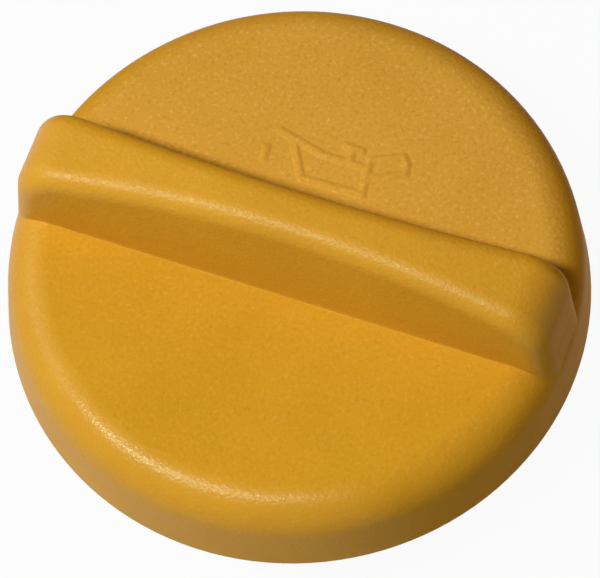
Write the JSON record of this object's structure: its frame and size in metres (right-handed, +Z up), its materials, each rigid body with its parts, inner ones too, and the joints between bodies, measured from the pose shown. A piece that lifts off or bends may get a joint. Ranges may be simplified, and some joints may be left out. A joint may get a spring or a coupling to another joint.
{
  "type": "oil filler cap",
  "caption": "Round yellow moulded oil filler cap with a waisted grip bar, a raised oil-can pictogram, a bayonet stem and a flat rubber seal.",
  "frame": {"origin": "on the cap's axis, in the plane where the seal lands on the filler neck's rim", "axes": "+Z up along the cap's axis, out of the neck; X along the grip bar; +Y towards the half that carries the pictogram"},
  "size_m": [0.062, 0.062, 0.0341],
  "materials": {
    "body": "fine spark-eroded grain",
    "seal": "matt"
  },
  "bodies": {
    "root": {"cap_body": "body", "seal_ring": "seal"}
  },
  "joints": []
}
